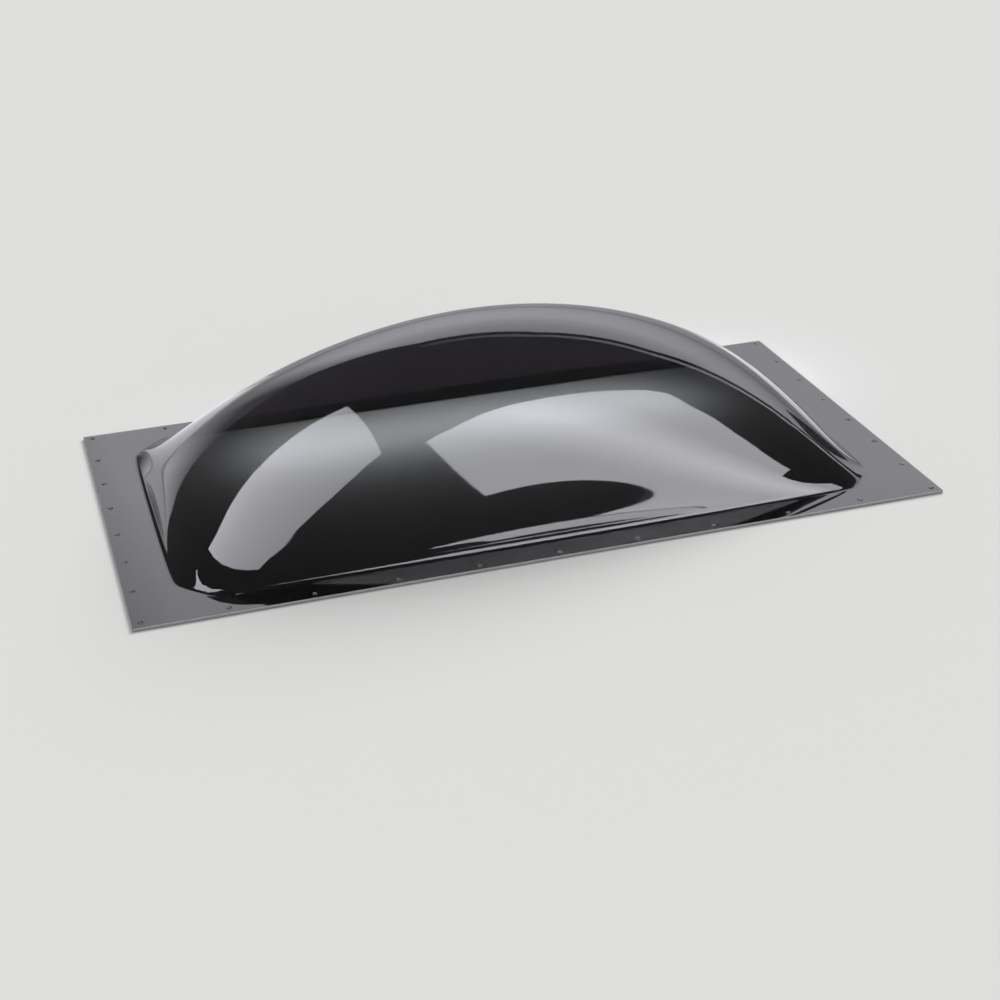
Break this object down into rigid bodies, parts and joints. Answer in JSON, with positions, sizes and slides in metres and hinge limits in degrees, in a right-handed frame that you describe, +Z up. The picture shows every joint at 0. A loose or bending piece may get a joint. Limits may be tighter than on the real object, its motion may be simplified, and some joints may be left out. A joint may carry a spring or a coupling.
{
  "type": "roof skylight",
  "caption": "Long low roof skylight: one smoked acrylic sheet blown into a dome, with a flat drilled flange that screws down over a roof opening.",
  "frame": {"origin": "middle of the flange's underside, which is the lowest face", "axes": "+X along the length, +Y across the width, +Z up through the crown"},
  "size_m": [0.876, 0.47, 0.1792],
  "materials": {
    "smoked_acrylic": "gloss"
  },
  "bodies": {
    "root": {"skylight_dome": "smoked_acrylic"}
  },
  "joints": []
}
